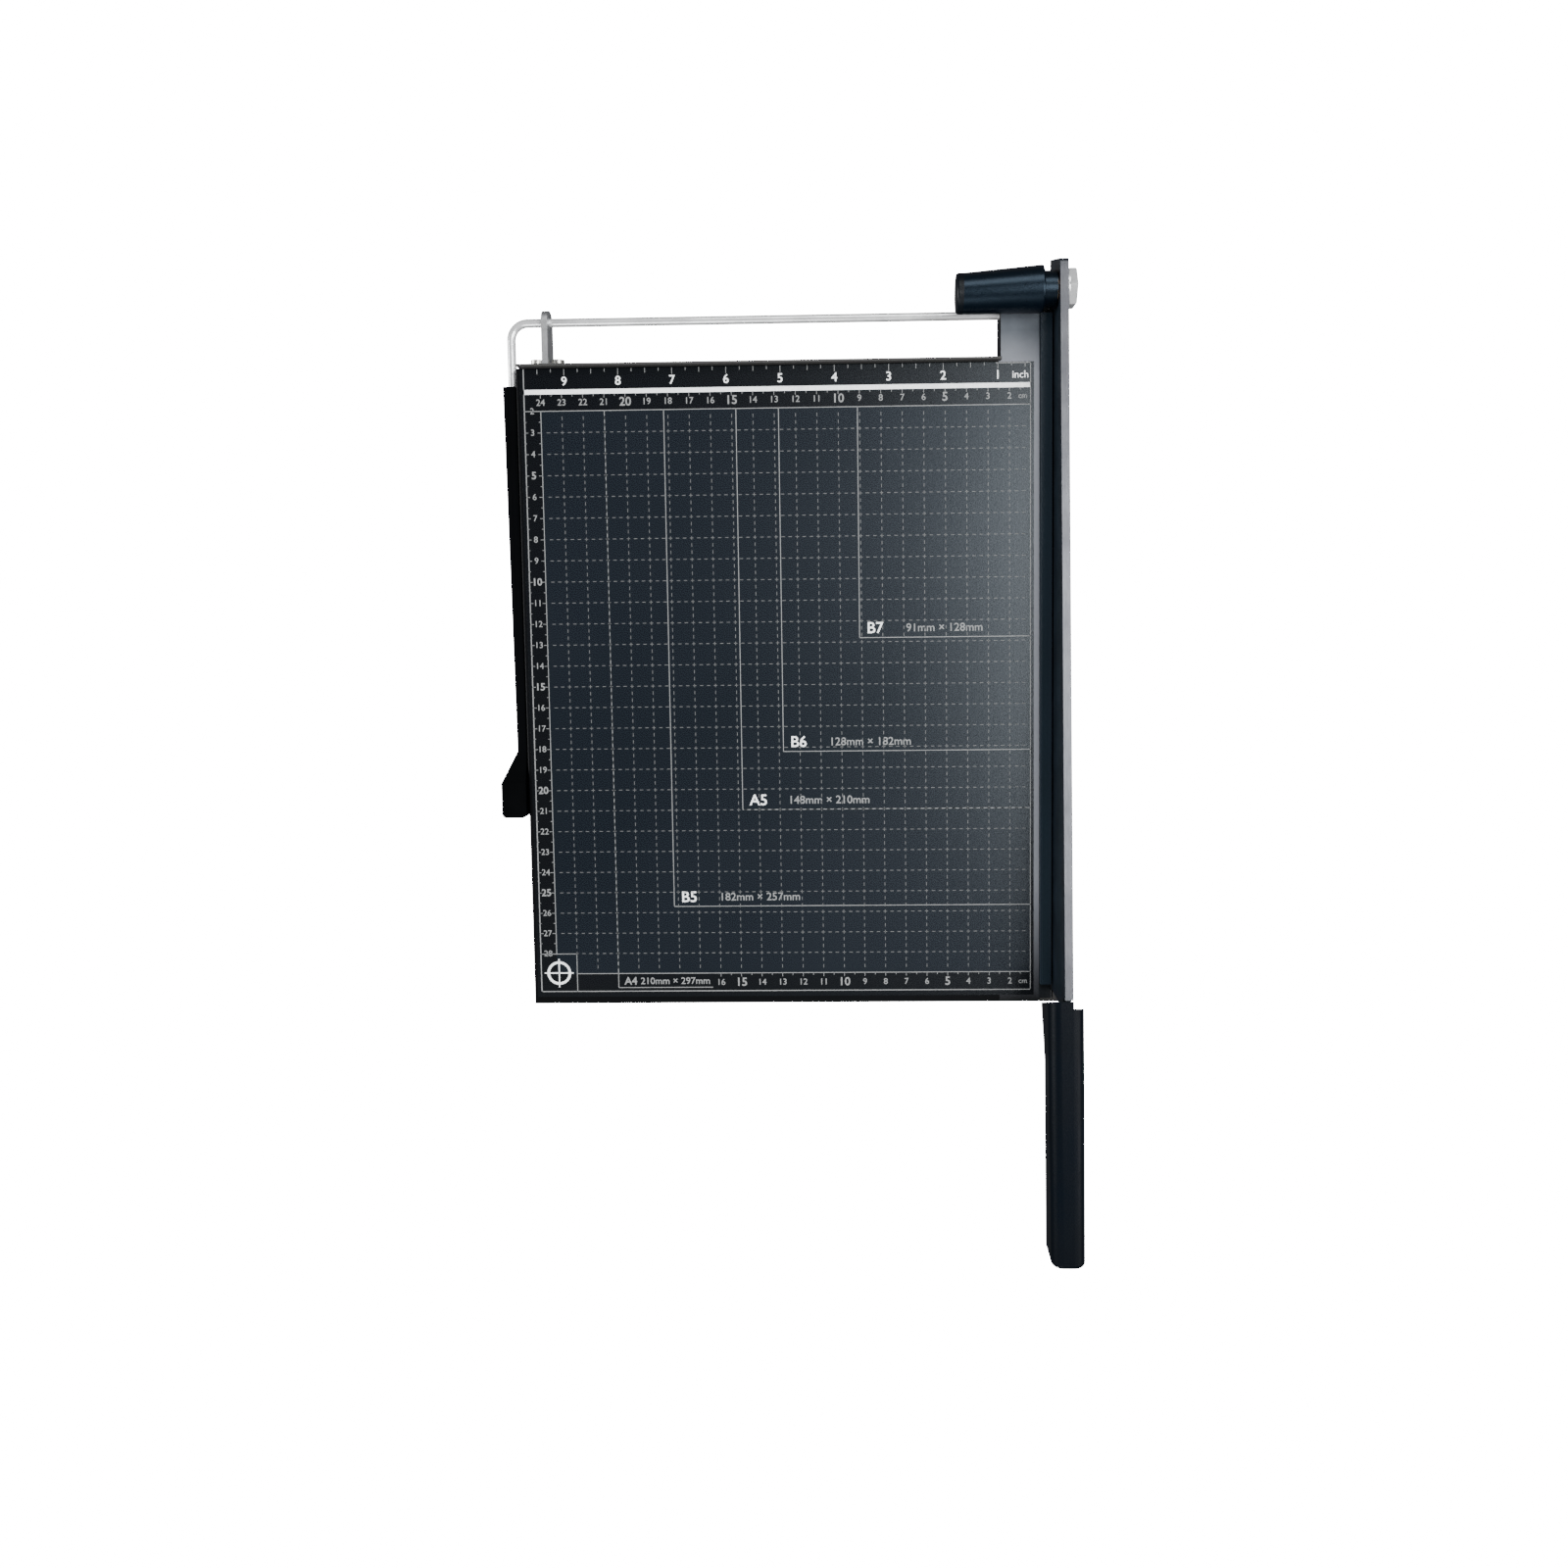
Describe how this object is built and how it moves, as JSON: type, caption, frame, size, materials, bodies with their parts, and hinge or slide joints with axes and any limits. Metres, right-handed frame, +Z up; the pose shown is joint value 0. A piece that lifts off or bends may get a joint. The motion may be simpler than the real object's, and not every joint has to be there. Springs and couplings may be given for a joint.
{
  "type": "guillotine paper cutter",
  "caption": "Desk paper cutter with a printed steel board, a swinging blade on a sprung pivot at the rear right, a long grip and a hinged paper clamp bar.",
  "frame": {"origin": "middle of the whole cutter's footprint, on the table under the rubber feet", "axes": "+Z up; +Y runs from the user's edge to the pivot, along the blade; +X runs right, from the board to the blade"},
  "size_m": [0.2734, 0.4622, 0.0775],
  "materials": {
    "board_paint": "dark blue-grey stoved paint, slightly glossy",
    "galvanised_steel": "zinc-plated pressed steel",
    "foot_rubber": "moulded black rubber",
    "zinc_fasteners": "zinc-plated fasteners",
    "ground_steel": "ground hardened steel",
    "rivet_aluminium": "plain aluminium rivets",
    "black_enamel": "glossy black enamel on a casting",
    "black_plastic_cap": "black moulded cap",
    "bronze_bush": "sintered bronze",
    "bright_steel": "bright plated steel",
    "spring_steel": "drawn spring wire",
    "arm_steel": "ground steel, black-painted faces with a bare spine and edge",
    "grip_plastic": "dark navy-black moulded grip",
    "black_bar_paint": "satin black paint",
    "lever_plastic": "black moulded lever"
  },
  "bodies": {
    "base": {"base_board": "board_paint", "bracket_nuts": "zinc_fasteners", "bracket_screws": "zinc_fasteners", "fixed_blade": "ground_steel", "fixed_blade_nuts": "zinc_fasteners", "fixed_blade_screws": "zinc_fasteners", "foot_front_left": "foot_rubber", "foot_front_right": "foot_rubber", "foot_nuts": "zinc_fasteners", "foot_rear_left": "foot_rubber", "foot_rear_right": "foot_rubber", "foot_screws": "zinc_fasteners", "housing_cap": "black_plastic_cap", "housing_screws": "zinc_fasteners", "paper_stop": "board_paint", "pivot_bush": "bronze_bush", "pivot_housing": "black_enamel", "rod_bracket": "galvanised_steel", "stiffener_front": "galvanised_steel", "stiffener_rear": "galvanised_steel", "stop_pin": "ground_steel", "stop_rivets": "rivet_aluminium", "stop_sleeve": "foot_rubber"},
    "arm": {"blade_arm": "arm_steel", "handle_grip": "grip_plastic", "handle_screws": "zinc_fasteners", "handle_nuts": "zinc_fasteners", "pivot_bolt": "bright_steel", "pivot_washer": "bright_steel", "lock_nut": "zinc_fasteners", "spring_seat": "zinc_fasteners", "pivot_spring": "spring_steel"},
    "clamp": {"press_bar": "black_bar_paint", "rod_pin": "zinc_fasteners", "clamp_rod": "bright_steel", "clamp_lever": "lever_plastic", "lever_pin": "zinc_fasteners"}
  },
  "joints": [
    {"name": "arm_pivot", "type": "hinge", "parent": "base", "child": "arm", "pos_m": [0.12725, 0.2125, 0.0415], "axis": [-1, 0, 0], "range_deg": [0, 75]},
    {"name": "clamp_lift", "type": "hinge", "parent": "base", "child": "clamp", "pos_m": [0.12425, 0.2056, 0.022], "axis": [-1, 0, 0], "range_deg": [0, 6]}
  ]
}
